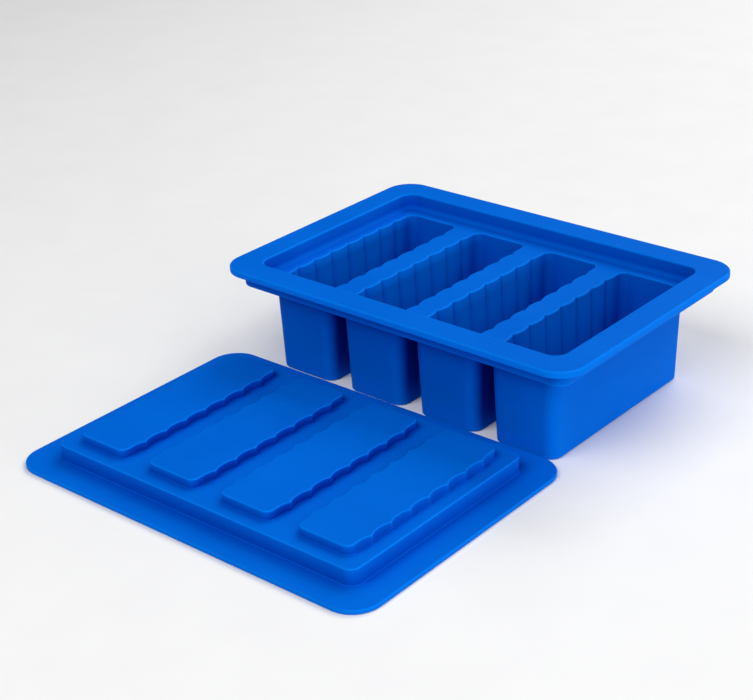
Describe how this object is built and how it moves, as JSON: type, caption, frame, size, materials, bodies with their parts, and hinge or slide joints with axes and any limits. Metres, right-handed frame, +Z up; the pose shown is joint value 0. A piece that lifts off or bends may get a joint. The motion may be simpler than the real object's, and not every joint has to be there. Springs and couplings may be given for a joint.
{
  "type": "silicone_soap_mould",
  "caption": "Blue silicone mould for soap bars: a tray of deep scalloped cavities under a wide flat rim, and its separate lid lying in front of it with the plug side up",
  "frame": {"origin": "middle of the footprint of the pair, tray and lid as they lie, on the surface they stand on", "axes": "+Z up, out of the cavities. +X along the row of cavities and along the long side of the rim. +Y along each cavity, from the lid towards the tray"},
  "size_m": [0.21, 0.2642, 0.0545],
  "materials": {
    "tray_silicone": "satin",
    "lid_silicone": "satin"
  },
  "bodies": {
    "tray": {"tray": "tray_silicone"},
    "lid": {"lid": "lid_silicone"}
  },
  "joints": [
    {"name": "lid_slide", "type": "slide", "parent": "tray", "child": "lid", "axis": [0, -0.7071, 0.7071], "range_m": [0, 0.15]}
  ]
}
